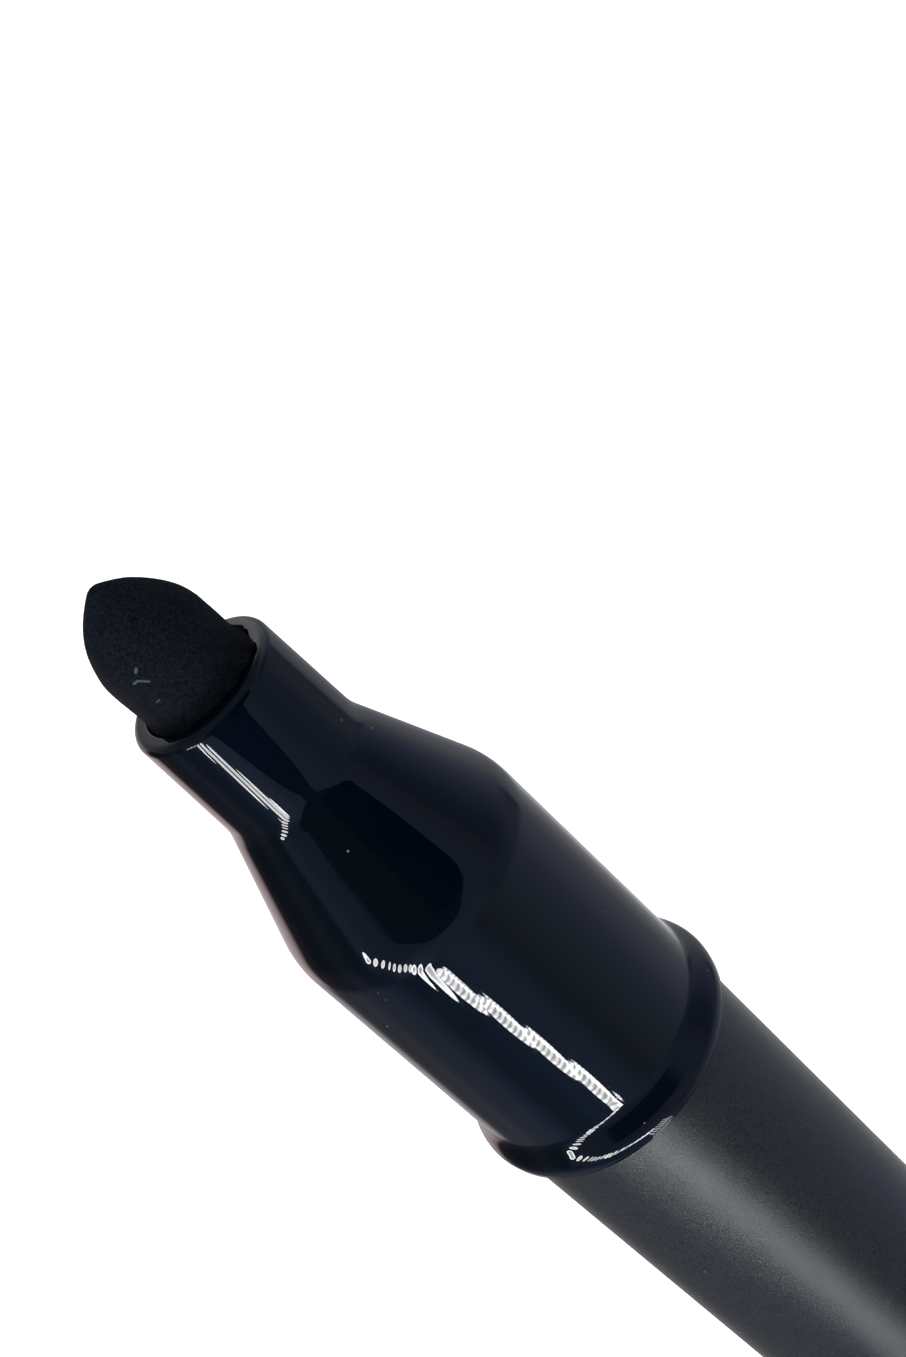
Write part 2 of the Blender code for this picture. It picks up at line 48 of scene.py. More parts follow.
# Cap. A straight cup of black plastic with a soft-touch lacquer, as wide as the nose's flange, so that the
# closed pen is flush. It is injection moulded on a core, with its gate sunk in the middle of the closed end,
# and is posted on the pen's tail here.
def radiused(corners, tightest=7):
    """Rounds each corner of an outline, (radius, height, corner radius) in mm, as a mould maker's cutter does."""
    points = []
    for index, corner in enumerate(corners):
        here = Vector(corner[:2])
        if len(corner) == 2:
            points.append(tuple(here))
            continue
        before = Vector(corners[index - 1][:2]) - here
        after = Vector(corners[(index + 1) % len(corners)][:2]) - here
        half = before.angle(after) / 2
        reach = min(corner[2] / math.tan(half), 0.48 * before.length, 0.48 * after.length)
        centre = here + (before.normalized() + after.normalized()).normalized() * reach / math.cos(half)
        start = here + before.normalized() * reach - centre
        end = here + after.normalized() * reach - centre
        sweep = math.copysign(math.pi - 2 * half, start.x * end.y - start.y * end.x)
        steps = max(2, math.ceil(abs(sweep) / math.radians(tightest)))
        for step in range(steps + 1):
            points.append(tuple(centre + Matrix.Rotation(sweep * step / steps, 2) @ start))
    return points


def divided(points, longest):
    """Adds points along the straight runs of an outline, so that no run is longer than the given mm."""
    finer = [points[0]]
    for start, end in zip(points, points[1:]):
        count = max(1, math.ceil(math.dist(start, end) / longest))
        for step in range(1, count + 1):
            share = step / count
            finer.append((start[0] + (end[0] - start[0]) * share, start[1] + (end[1] - start[1]) * share))
    return finer


def turned_mesh(name, points, sides=144):
    """A round moulding: the outline in mm spun about the pen's axis, closed on the axis or as a ring."""
    on_axis = points[0][0] == 0
    vertices, rings = [], []
    for radius, height in points:
        if radius == 0:
            rings.append([len(vertices)])
            vertices.append((0, 0, height * MM))
            continue
        rings.append(list(range(len(vertices), len(vertices) + sides)))
        for side in range(sides):
            angle = 2 * math.pi * side / sides
            vertices.append((radius * MM * math.cos(angle), radius * MM * math.sin(angle), height * MM))
    faces = []
    for lower, upper in zip(rings, rings[1:] + ([] if on_axis else rings[:1])):
        for side in range(sides):
            following = (side + 1) % sides
            if len(lower) == 1:
                faces.append((lower[0], upper[following], upper[side]))
            elif len(upper) == 1:
                faces.append((lower[side], lower[following], upper[0]))
            else:
                faces.append((lower[side], lower[following], upper[following], upper[side]))
    mesh = bpy.data.meshes.new(name)
    mesh.from_pydata(vertices, [], faces)
    mesh.flip_normals()
    mesh.shade_smooth()
    mesh.set_sharp_from_angle(angle=math.radians(32))
    piece = bpy.data.objects.new(name, mesh)
    bpy.context.scene.collection.objects.link(piece)
    return piece


def fitted(piece, body, node, finish):
    """Seats a moulding where its CAD node is, on the body that carries it, in its finish."""
    piece.data.materials.append(finish)
    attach(piece, body)
    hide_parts(node)
    return piece


def span(node):
    """Lowest and highest level of a CAD node in mm, and its largest radius."""
    low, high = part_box(node)
    return low.z / MM, high.z / MM, high.x / MM


def new_finish(name):
    """An empty material with its node tree and its Principled shader."""
    finish = bpy.data.materials.new(name)
    finish.use_nodes = True
    return finish, finish.node_tree, finish.node_tree.nodes["Principled BSDF"]


def add(tree, kind, settings=None, **values):
    """A shader node with its settings. A socket goes by name, or as s0 by number, and takes a value or a link."""
    made = tree.nodes.new(kind)
    for key, value in (settings or {}).items():
        setattr(made, key, value)
    for key, value in values.items():
        numbered = key[0] == "s" and key[1:].isdigit()
        socket = made.inputs[int(key[1:]) if numbered else key.replace("_", " ")]
        if isinstance(value, bpy.types.NodeSocket):
            tree.links.new(value, socket)
        else:
            socket.default_value = value
    return made


def worked_out(tree, operation, *numbers):
    """One step of arithmetic on numbers or sockets."""
    sockets = {f"s{index}": number for index, number in enumerate(numbers)}
    return add(tree, "ShaderNodeMath", {"operation": operation}, **sockets).outputs[0]


def blended(tree, mask, under, over):
    """One colour laid over another where the mask is 1."""
    return add(tree, "ShaderNodeMix", {"data_type": "RGBA"}, s0=mask, s6=under, s7=over).outputs[2]


def effect(name, inputs, outputs):
    """An empty shader node group with named sockets: an effect that more than one finish uses."""
    group = bpy.data.node_groups.new(name, "ShaderNodeTree")
    for label, kind, value in inputs:
        socket = group.interface.new_socket(label, in_out="INPUT", socket_type=kind)
        socket.default_value = value
    for label, kind in outputs:
        group.interface.new_socket(label, in_out="OUTPUT", socket_type=kind)
    return group, group.nodes.new("NodeGroupInput").outputs, group.nodes.new("NodeGroupOutput").inputs


def use(tree, group, **values):
    """Places an effect in a finish with its own values."""
    return add(tree, "ShaderNodeGroup", {"node_tree": group}, **values).outputs


# A fine mottle in the colour, with a height for the bump.
moulding_grain, given, wanted = effect(
    "Moulding grain",
    [
        ("Colour", "NodeSocketColor", (0.5, 0.5, 0.5, 1)),
        ("Grains per metre", "NodeSocketFloat", 9000.0),
        ("Contrast", "NodeSocketFloat", 0.1),
    ],
    [("Colour", "NodeSocketColor"), ("Height", "NodeSocketFloat")],
)
place = add(moulding_grain, "ShaderNodeTexCoord").outputs["Object"]
grain = add(
    moulding_grain, "ShaderNodeTexNoise", None,
    Vector=place, Scale=given["Grains per metre"], Detail=3.0, Roughness=0.65,
)
darkest = worked_out(moulding_grain, "SUBTRACT", 1.0, given["Contrast"])
lightest = worked_out(moulding_grain, "ADD", 1.0, given["Contrast"])
spread = add(
    moulding_grain, "ShaderNodeMapRange", None,
    Value=grain.outputs[0], From_Min=0.3, From_Max=0.7, To_Min=darkest, To_Max=lightest,
)
shaded = add(
    moulding_grain, "ShaderNodeVectorMath", {"operation": "SCALE"}, s0=given["Colour"], Scale=spread.outputs[0]
)
moulding_grain.links.new(shaded.outputs[0], wanted["Colour"])
moulding_grain.links.new(grain.outputs[0], wanted["Height"])

# Faint smears in the sheen, left by handling.
handling, given, wanted = effect(
    "Handling marks",
    [("Roughness", "NodeSocketFloat", 0.4), ("Spread", "NodeSocketFloat", 0.05)],
    [("Roughness", "NodeSocketFloat")],
)
place = add(handling, "ShaderNodeTexCoord").outputs["Object"]
smears = add(
    handling, "ShaderNodeTexNoise", None, Vector=place, Scale=260.0, Detail=5.0, Roughness=0.6, Distortion=0.8
)
centred = worked_out(handling, "SUBTRACT", smears.outputs[0], 0.5)
swing = worked_out(handling, "MULTIPLY", centred, given["Spread"])
marked = worked_out(handling, "MULTIPLY_ADD", swing, 2.0, given["Roughness"])
handling.links.new(marked, wanted["Roughness"])

# Specks of dust, one in each of a share of the cells.
dust, given, wanted = effect(
    "Dust",
    [
        ("Colour", "NodeSocketColor", (0.01, 0.01, 0.01, 1)),
        ("Dust colour", "NodeSocketColor", (0.25, 0.3, 0.36, 1)),
        ("Cells per metre", "NodeSocketFloat", 420.0),
        ("Size", "NodeSocketFloat", 0.03),
        ("Share", "NodeSocketFloat", 0.3),
    ],
    [("Colour", "NodeSocketColor"), ("Mask", "NodeSocketFloat")],
)
place = add(dust, "ShaderNodeTexCoord").outputs["Object"]
cells = add(dust, "ShaderNodeTexVoronoi", None, Vector=place, Scale=given["Cells per metre"])
speck = worked_out(dust, "LESS_THAN", cells.outputs["Distance"], given["Size"])
lot = add(dust, "ShaderNodeSeparateColor", None, Color=cells.outputs["Color"])
chosen = worked_out(dust, "LESS_THAN", lot.outputs[0], given["Share"])
mask = worked_out(dust, "MULTIPLY", speck, chosen)
dusted = blended(dust, mask, given["Colour"], given["Dust colour"])
dust.links.new(dusted, wanted["Colour"])
dust.links.new(mask, wanted["Mask"])


def lacquered(name, colour, roughness):
    """Soft-touch lacquer over black plastic: a fine even grain, faint smears where it is held, a little dust."""
    finish, tree, shader = new_finish(name)
    grain = use(tree, moulding_grain, Colour=(*colour, 1), Grains_per_metre=9500.0, Contrast=0.9)
    specks = use(
        tree, dust, Colour=grain["Colour"], Dust_colour=(0.16, 0.17, 0.19, 1),
        Cells_per_metre=700.0, Size=0.035, Share=0.25,
    )
    marks = use(tree, handling, Roughness=roughness, Spread=0.07)
    bump = add(tree, "ShaderNodeBump", None, Strength=0.4, Distance=0.00004, Height=grain["Height"])
    tree.links.new(specks["Colour"], shader.inputs["Base Color"])
    tree.links.new(marks["Roughness"], shader.inputs["Roughness"])
    tree.links.new(bump.outputs[0], shader.inputs["Normal"])
    return finish


satin_black = lacquered("satin black lacquer", (0.0138, 0.0156, 0.0158), 0.3)
_, cap_high, cap_radius = span("cap_shell")
cap_bore = 6.1
cap_end_wall = 1.2
gate_radius, gate_depth, gate_slope = 0.8, 0.12, 0.2
cap = turned_mesh(
    "cap_shell_part",
    radiused([
        (0, cap_end_wall),
        (cap_bore, cap_end_wall, 0.3),
        (cap_bore, cap_high, 0.12),
        (cap_radius, cap_high, 0.15),
        (cap_radius, 0, 0.4),
        (gate_radius + gate_slope, 0, 0.1),
        (gate_radius, gate_depth, 0.1),
        (0, gate_depth),
    ]),
)
fitted(cap, "cap", "cap_shell", satin_black)


# Cap liner. A cup of natural white plastic, pressed into the cap's closed end. Its thin wall closes round the
# neck when the cap is on the nose and keeps the sponge moist.
def moulded(name, colour, roughness, contrast=0.06):
    """Plain moulded plastic, straight from the tool, with faint flow in its colour and sheen."""
    finish, tree, shader = new_finish(name)
    grain = use(tree, moulding_grain, Colour=(*colour, 1), Grains_per_metre=1600.0, Contrast=contrast)
    marks = use(tree, handling, Roughness=roughness, Spread=0.06)
    bump = add(tree, "ShaderNodeBump", None, Strength=0.08, Distance=0.00003, Height=grain["Height"])
    tree.links.new(grain["Colour"], shader.inputs["Base Color"])
    tree.links.new(marks["Roughness"], shader.inputs["Roughness"])
    tree.links.new(bump.outputs[0], shader.inputs["Normal"])
    return finish


natural_white = moulded("natural white plastic", (0.78, 0.78, 0.75), 0.38)
liner_low, liner_high, liner_foot_radius = span("cap_liner")
liner_bore = 3.63
liner_wall = 0.6
liner_floor = liner_low + 0.8
liner_foot = liner_low + 1.5
liner = turned_mesh(
    "cap_liner_part",
    radiused([
        (0, liner_floor),
        (liner_bore, liner_floor, 0.4),
        (liner_bore, liner_high, 0.15),
        (liner_bore + liner_wall, liner_high, 0.15),
        (liner_bore + liner_wall, liner_foot, 0.4),
        (liner_foot_radius, liner_foot, 0.15),
        (liner_foot_radius, liner_low, 0.15),
        (0, liner_low),
    ]),
)
fitted(liner, "cap", "cap_liner", natural_white)


# Knob end plug. A polished black disc with a hollow spigot, pressed into the rear end of the knob.
def polished(name, colour, roughness):
    """Black plastic from a mirror-polished tool: deep gloss, hairline scuffs and a few specks of dust."""
    finish, tree, shader = new_finish(name)
    grain = use(tree, moulding_grain, Colour=(*colour, 1), Grains_per_metre=700.0, Contrast=0.15)
    specks = use(
        tree, dust, Colour=grain["Colour"], Dust_colour=(0.1, 0.135, 0.16, 1),
        Cells_per_metre=700.0, Size=0.036, Share=0.8,
    )
    marks = use(tree, handling, Roughness=roughness, Spread=0.012)
    dull = worked_out(tree, "MULTIPLY_ADD", specks["Mask"], 0.6, marks["Roughness"])
    bump = add(tree, "ShaderNodeBump", None, Strength=0.03, Distance=0.00002, Height=grain["Height"])
    tree.links.new(specks["Colour"], shader.inputs["Base Color"])
    tree.links.new(dull, shader.inputs["Roughness"])
    tree.links.new(bump.outputs[0], shader.inputs["Normal"])
    return finish


gloss_black = polished("gloss black plastic", (0.0006, 0.0014, 0.0032), 0.02)
plug_low, plug_high, plug_radius = span("knob_end_plug")
plug_disc = plug_low + 1.2
plug_spigot = 4.9
plug_wall = 1.0
end_plug = turned_mesh(
    "knob_end_plug_part",
    radiused([
        (0, plug_disc),
        (plug_spigot - plug_wall, plug_disc, 0.2),
        (plug_spigot - plug_wall, plug_high, 0.1),
        (plug_spigot, plug_high, 0.15),
        (plug_spigot, plug_disc),
        (plug_radius, plug_disc, 0.12),
        (plug_radius, plug_low, 0.4),
        (0, plug_low),
    ]),
)
fitted(end_plug, "knob", "knob_end_plug", gloss_black)


# Knob. The rear length of the satin tube, which the fingers turn against the barrel. It is cut from the same
# lacquered tube, with both ends lightly broken.
knob_low, knob_high, knob_radius = span("knob_shell")
knob_bore = 5.0
knob = turned_mesh(
    "knob_shell_part",
    radiused([
        (knob_radius, knob_high, 0.15),
        (knob_radius, knob_low, 0.12),
        (knob_bore, knob_low, 0.1),
        (knob_bore, knob_high, 0.1),
    ]),
)
fitted(knob, "knob", "knob_shell", satin_black)


# Knob drive, pawl ring, tail bush and ratchet ring. The white drive is pressed into the knob and snapped
# through the grey bush. The grey pawl ring on it clicks over the saw teeth of the ratchet ring.
working_grey = moulded("grey working plastic", (0.36, 0.37, 0.39), 0.4)


def refinished(node, finish):
    """Keeps a CAD node's own shape and gives it its finish."""
    piece = nodes[node]
    piece.data.materials.clear()
    piece.data.materials.append(finish)


refinished("knob_drive", natural_white)
refinished("pawl_ring", working_grey)
refinished("tail_bush", working_grey)
refinished("ratchet_ring", working_grey)


# Screw feed. The flatted lead screw with its coarse thread, the fixed nut that guides it and the piston that
# its head snaps into, all moulded in natural white plastic.
refinished("screw_guide", natural_white)
refinished("lead_screw", natural_white)
refinished("piston", natural_white)


# Cartridge. A clear tube that holds the tint, closed by a white stopper with a rubber seal ring. A clear feed
# tube leads from the stopper's nipple to the tip holder.
def clear_moulded(name, colour, roughness):
    """Clear plastic with the faint flow lines of its tool."""
    finish, tree, shader = new_finish(name)
    grain = use(tree, moulding_grain, Colour=(*colour, 1), Grains_per_metre=900.0, Contrast=0.05)
    marks = use(tree, handling, Roughness=roughness, Spread=0.05)
    shader.inputs["Transmission Weight"].default_value = 0.8
    shader.inputs["IOR"].default_value = 1.49
    tree.links.new(grain["Colour"], shader.inputs["Base Color"])
    tree.links.new(marks["Roughness"], shader.inputs["Roughness"])
    return finish


clear_plastic = clear_moulded("clear plastic", (0.8, 0.83, 0.84), 0.12)
brow_tint = moulded("brow tint", (0.045, 0.024, 0.014), 0.3, contrast=0.2)
seal_rubber = moulded("seal rubber", (0.06, 0.06, 0.065), 0.75, contrast=0.15)
refinished("cartridge", clear_plastic)
refinished("tint_charge", brow_tint)
refinished("cartridge_plug", natural_white)
refinished("plug_o_ring", seal_rubber)
refinished("feed_tube", clear_plastic)


# Barrel. The long satin tube that the hand holds, extruded, cut and lacquered soft-touch black. Its front end
# butts against the nose's flange.
barrel_low, barrel_high, barrel_radius = span("barrel_shell")
barrel_bore = 5.2
barrel_face = barrel_high + 0.23
barrel = turned_mesh(
    "barrel_shell_part",
    radiused([
        (barrel_radius, barrel_face, 0.06),
        (barrel_radius, barrel_low, 0.15),
        (barrel_bore, barrel_low, 0.1),
        (barrel_bore, barrel_face, 0.06),
    ]),
)
fitted(barrel, "barrel", "barrel_shell", satin_black)


# Nose cone. One black moulding from a mirror-polished tool: rolled mouth lip, straight neck, cone shoulder,
# cylinder and a flange that flares out over the barrel's end, with the spigot that plugs into the barrel.
nose_low, nose_high, flange_radius = span("nose_cone")
spigot_length = 4.5
flange_plane = nose_low + spigot_length
mouth = nose_high
mouth_radius, mouth_bore = 3.39, 2.6
neck_base, neck_radius = flange_plane + 21.75, 3.53
cylinder_top, cylinder_top_radius = flange_plane + 15.05, 5.91
flange_crown, rim_foot, rim_tuck = 0.5, 0.12, 0.06
flare_top, flare_radius = 2.2, 6.04
lip, neck_fillet, shoulder_rounding = 0.46, 3.0, 5.0
spigot_radius, spigot_bore, feed_bore = 5.15, 4.25, 1.55
hollow_top, neck_hollow, holder_ledge = flange_plane + 13.85, flange_plane + 16.65, flange_plane + 18.15
flare_steps, crown_steps = 32, 6
flare = []
for step in range(flare_steps + 1):
    share = step / flare_steps
    swell = (flange_radius - flare_radius) * (1 - math.cos(math.pi * share)) / 2
    flare.append((flare_radius + swell, flange_plane + flare_top - (flare_top - flange_crown) * share))
for step in range(1, crown_steps + 1):
    share = step / crown_steps
    height = flange_plane + flange_crown + (rim_foot - flange_crown) * share
    flare.append((flange_radius - rim_tuck * share**2, height))
nose_outline = radiused(
    [
        (mouth_bore, mouth, 0.12),
        (mouth_radius, mouth, lip),
        (neck_radius, neck_base, neck_fillet),
        (cylinder_top_radius, cylinder_top, shoulder_rounding),
        *flare,
        (flange_radius - rim_tuck, flange_plane, 0.1),
        (spigot_radius, flange_plane),
        (spigot_radius, nose_low, 0.15),
        (spigot_bore, nose_low),
        (spigot_bore, hollow_top, 1.2),
        (feed_bore, neck_hollow),
        (feed_bore, holder_ledge),
        (mouth_bore, holder_ledge),
    ],
    tightest=3,
)
nose = turned_mesh("nose_cone_part", divided(nose_outline, longest=0.5), sides=224)
fitted(nose, "barrel", "nose_cone", gloss_black)


# Tip holder. A white stem that sits on the ledge inside the neck. Its spike is glued into the sponge.
refinished("tip_holder", natural_white)


# Sponge tip. A ground point of dense black foam, glued on the holder's spike, round where it enters the mouth.
# It is soaked with tint, with a fine open grain, a browner dry edge and a few fibres of lint caught on it.
sponge_low, sponge_high, sponge_radius = span("sponge_tip")
point_height = 3.68
sponge_shoulder = sponge_high - point_height
spike_bore, spike_top = 1.1, sponge_low + 3.45
point_swell, point_taper, point_rounding = 1.97, 0.895, 0.6
meridian_steps, rounding_steps = 200, 8
meridian = []
for step in range(meridian_steps + 1):
    rise = math.sin(math.pi / 2 * step / meridian_steps)
    radius = sponge_radius * (1 - rise**point_swell) ** point_taper
    meridian.append((radius, sponge_shoulder + point_height * rise))
sponge_outline = []
for (radius, height), (inner, higher) in zip(meridian, meridian[1:]):
    slope = math.atan2(radius - inner, higher - height)
    if radius <= point_rounding * math.cos(slope):
        break
    sponge_outline.append((radius, height))
radius, height = sponge_outline[-1]
centre = height - point_rounding * math.sin(slope)
start = math.atan2(height - centre, radius)
for step in range(1, rounding_steps + 1):
    angle = start + (math.pi / 2 - start) * step / rounding_steps
    radius = point_rounding * math.cos(angle) if step < rounding_steps else 0
    sponge_outline.append((radius, centre + point_rounding * math.sin(angle)))
sponge_outline = sponge_outline[::-1]
rounded_part, long_part = sponge_outline[: rounding_steps + 1], sponge_outline[rounding_steps + 1 :]
sponge_outline = rounded_part + divided(long_part, longest=0.06)
below = [
    (sponge_radius, sponge_shoulder),
    (sponge_radius, sponge_low, 0.4),
    (spike_bore, sponge_low),
    (spike_bore, spike_top),
    (0, spike_top),
]
sponge_outline += divided(radiused(below, tightest=15), longest=0.08)[1:]
sponge = turned_mesh("sponge_tip_part", sponge_outline, sides=200)

# The foam's slow waves and open grain, its slight lean, and the edge that is pressed out and spilt over the lip.
# The spilt edge is listed as (bearing in degrees, reach over the lip in mm).
grain_depth = 0.03 * MM
wave_depth = 0.035 * MM
lean = 0.11 * MM
waves_per_mm, grains_per_mm, fine_grains_per_mm, fine_grain_share = 0.9, 7.0, 15.0, 0.6
rags_per_mm, rag_level, rag_depth = 2.6, 0.9, 0.4
free_below, free_run = 0.1, 0.4
edge_radius = 2.2
pressed_reach, pressed_top, pressed_height = 0.075, 0.45, 0.5
roll_middle, roll_spread, roll_foot = 0.15, 0.28, 0.04
spilt_edge = [
    (-128, 0.0), (-112, 0.1), (-95, 0.25), (-70, 0.36), (-52, 0.42), (-34, 0.47), (-26, 0.45), (-19, 0.36),
    (-13, 0.2), (-6, 0.12), (3, 0.12), (7, 0.24), (10, 0.22), (15, 0.06), (24, 0.04), (40, 0.0),
]


def clamped(share):
    """A share held between none and all."""
    return min(1.0, max(0.0, share))


resting = [(vertex.co.copy(), vertex.normal.copy()) for vertex in sponge.data.vertices]
for vertex, (place, outwards) in zip(sponge.data.vertices, resting):
    level_up = place.z / MM - mouth
    proud = clamped((level_up + free_below) / free_run)
    wave = noise.noise(place / MM * waves_per_mm) * wave_depth
    pore = noise.noise(place / MM * grains_per_mm)
    pore += fine_grain_share * noise.noise(place / MM * fine_grains_per_mm)
    vertex.co += outwards * proud * (wave + min(0.0, pore) * grain_depth - 0.5 * wave_depth)
    vertex.co.x -= lean * clamped(level_up / (sponge_high - mouth))
    if math.hypot(place.x, place.y) / MM < edge_radius:
        continue
    sideways = Vector((place.x, place.y, 0))
    pressed = pressed_reach * clamped((pressed_top - level_up) / pressed_height)
    bearing = math.degrees(math.atan2(place.y, place.x))
    spill = np.interp(bearing, [stop[0] for stop in spilt_edge], [stop[1] for stop in spilt_edge])
    over_lip = spill * math.exp(-(((level_up - roll_middle) / roll_spread) ** 2)) if level_up > roll_foot else 0.0
    ragged = rag_level + rag_depth * noise.noise(sideways / MM * rags_per_mm)
    vertex.co += sideways.normalized() * (pressed + over_lip * ragged) * MM


def smooth(tree, value, start, end, low=0.0, high=1.0):
    """Goes softly from the low to the high number while the value goes from the start to the end."""
    return add(
        tree, "ShaderNodeMapRange", {"interpolation_type": "SMOOTHSTEP"},
        Value=value, From_Min=start, From_Max=end, To_Min=low, To_Max=high,
    ).outputs[0]


# A mask along one straight fibre of lint.
lint_fibre, given, wanted = effect(
    "Lint fibre",
    [
        ("Start", "NodeSocketVector", (0, 0, 0)),
        ("End", "NodeSocketVector", (0, 0, 0)),
        ("Width", "NodeSocketFloat", 0.00004),
    ],
    [("Mask", "NodeSocketFloat")],
)
place = add(lint_fibre, "ShaderNodeTexCoord").outputs["Object"]
along = add(lint_fibre, "ShaderNodeVectorMath", {"operation": "SUBTRACT"}, s0=given["End"], s1=given["Start"])
reach = add(lint_fibre, "ShaderNodeVectorMath", {"operation": "SUBTRACT"}, s0=place, s1=given["Start"])
along, reach = along.outputs[0], reach.outputs[0]
shadow = add(lint_fibre, "ShaderNodeVectorMath", {"operation": "DOT_PRODUCT"}, s0=reach, s1=along)
length = add(lint_fibre, "ShaderNodeVectorMath", {"operation": "DOT_PRODUCT"}, s0=along, s1=along)
share = add(
    lint_fibre, "ShaderNodeMath", {"operation": "DIVIDE", "use_clamp": True},
    s0=shadow.outputs["Value"], s1=length.outputs["Value"],
)
nearest = add(lint_fibre, "ShaderNodeVectorMath", {"operation": "SCALE"}, s0=along, Scale=share.outputs[0])
away = add(lint_fibre, "ShaderNodeVectorMath", {"operation": "DISTANCE"}, s0=reach, s1=nearest.outputs[0])
thin = smooth(lint_fibre, away.outputs["Value"], given["Width"], 0.0)
lint_fibre.links.new(thin, wanted["Mask"])

black_sponge, tree, shader = new_finish("black sponge")
foam = use(tree, moulding_grain, Colour=(0.0040, 0.0062, 0.0112, 1), Grains_per_metre=9500.0, Contrast=0.95)
place = add(tree, "ShaderNodeTexCoord").outputs["Object"]
patches = add(tree, "ShaderNodeTexNoise", None, Vector=place, Scale=700.0, Detail=4.0)
across = add(tree, "ShaderNodeSeparateXYZ", None, Vector=place)
dry_side = smooth(tree, across.outputs["X"], -0.0017, -0.0025, high=0.6)
dry = worked_out(tree, "MULTIPLY", dry_side, patches.outputs[0])
browned = blended(tree, dry, foam["Colour"], (0.03, 0.022, 0.017, 1))
# Painted shade: the foam's colour darkens towards the lip where it dips into the mouth, down to 0.3 of itself.
mouth_shade = smooth(tree, across.outputs["Z"], (mouth + 0.1) * MM, (mouth + 1.1) * MM, low=0.3)
shaded_at_mouth = add(tree, "ShaderNodeVectorMath", {"operation": "SCALE"}, s0=browned, Scale=mouth_shade)
caught = shaded_at_mouth.outputs[0]
above_flange = Vector((0, 0, flange_plane))
# Each fibre of lint runs from one point to another, given over the flange's plane, with its width, in mm.
for start, end, width in [
    ((-1.43, -2.01, 30.2), (-1.25, -2.13, 30.22), 0.07),
    ((-1.25, -2.13, 30.22), (-0.96, -2.3, 29.95), 0.08),
    ((-0.96, -2.16, 30.62), (-1.08, -2.15, 30.52), 0.1),
    ((-1.44, -2.06, 29.0), (-1.25, -2.18, 29.08), 0.07),
]:
    start, end = (Vector(start) + above_flange) * MM, (Vector(end) + above_flange) * MM
    fibre = use(tree, lint_fibre, Start=start, End=end, Width=width * MM)
    caught = blended(tree, fibre["Mask"], caught, (0.075, 0.095, 0.115, 1))
tree.links.new(caught, shader.inputs["Base Color"])
shader.inputs["Roughness"].default_value = 0.92
shader.inputs["Specular IOR Level"].default_value = 0.15
pores = add(tree, "ShaderNodeBump", None, Strength=1.0, Distance=0.00011, Height=foam["Height"])
tree.links.new(pores.outputs[0], shader.inputs["Normal"])
fitted(sponge, "barrel", "sponge_tip", black_sponge)


# The room. A white ground, two broad soft lamps, a chain of oval lamps that the gloss nose mirrors as a row of
# beads, a low striped lamp for the barrel, a small dark card close in front, and a dim room that is paler behind
# the pen.
def panel(name, corners, finish):
    """A flat sheet of the room, which isn't part of the pen."""
    mesh = bpy.data.meshes.new(name)
    mesh.from_pydata(corners, [], [tuple(range(len(corners)))])
    mesh.materials.append(finish)
    made = bpy.data.objects.new(name, mesh)
    bpy.context.scene.collection.objects.link(made)
    return made


def bare_tree(owner):
    """The emptied node tree of a material or world whose shaders are all added by hand."""
    owner.use_nodes = True
    owner.node_tree.nodes.clear()
    return owner.node_tree


white_ground = bpy.data.materials.new("white ground")
tree = bare_tree(white_ground)
matt = add(tree, "ShaderNodeBsdfDiffuse", None, Color=(0.8, 0.8, 0.8, 1))
seen = add(tree, "ShaderNodeLightPath").outputs["Is Camera Ray"]
lift_to_white = 0.68
lift = worked_out(tree, "MULTIPLY", seen, lift_to_white)
glow = add(tree, "ShaderNodeEmission", None, Color=(1, 1, 1, 1), Strength=lift)
both = add(tree, "ShaderNodeAddShader", None, s0=matt.outputs[0], s1=glow.outputs[0])
tree.links.new(both.outputs[0], add(tree, "ShaderNodeOutputMaterial").inputs["Surface"])
ground_reach, ground_drop = 6, 0.0002
ground_corners = [(x * ground_reach, y * ground_reach, 0) for x, y in ((-1, -1), (1, -1), (1, 1), (-1, 1))]
floor = panel("floor", ground_corners, white_ground)
floor.location.z = -ground_drop
floor.visible_glossy = False

dark_card = bpy.data.materials.new("dark card")
tree = bare_tree(dark_card)
place = add(tree, "ShaderNodeSeparateXYZ", None, Vector=add(tree, "ShaderNodeTexCoord").outputs["Object"])
left = smooth(tree, place.outputs["X"], 0.003, -0.003)
raised = smooth(tree, place.outputs["Z"], 0.118, 0.122)
coat = blended(tree, left, (0.0, 0.016, 0.048, 1), (0.03, 0.055, 0.066, 1))
shown = blended(tree, raised, (0.018, 0.052, 0.135, 1), coat)
glow = add(tree, "ShaderNodeEmission", None, Color=shown, Strength=1.0)
faded = smooth(tree, place.outputs["X"], -0.028, -0.021)
clear = add(tree, "ShaderNodeBsdfTransparent")
veil = add(tree, "ShaderNodeMixShader", None, s0=faded, s1=clear.outputs[0], s2=glow.outputs[0])
tree.links.new(veil.outputs[0], add(tree, "ShaderNodeOutputMaterial").inputs["Surface"])
card_distance = 30
card_outline = [
    (-10, 113.0), (-5, 112.8), (1.5, 112.9), (6, 114.4), (11, 118.2), (16.8, 121.3), (21.5, 122.4),
    (23.2, 125), (24.7, 127.5), (24.7, 150), (-17.5, 150), (-18, 129), (-23, 127.4), (-26, 125),
    (-28.5, 122.4), (-29, 120.9), (-22, 120.2), (-15, 116),
]
# Two rounds of cutting the corners leave the card's edge soft.
for _ in range(2):
    cut = []
    for start, end in zip(card_outline, card_outline[1:] + card_outline[:1]):
        cut.append((start[0] * 0.75 + end[0] * 0.25, start[1] * 0.75 + end[1] * 0.25))
        cut.append((start[0] * 0.25 + end[0] * 0.75, start[1] * 0.25 + end[1] * 0.75))
    card_outline = cut
dark_panel = panel("dark_card", [(x * MM, -card_distance * MM, z * MM) for x, z in card_outline], dark_card)
dark_panel.visible_camera = dark_panel.visible_diffuse = False
dark_panel.visible_shadow = dark_panel.visible_transmission = False

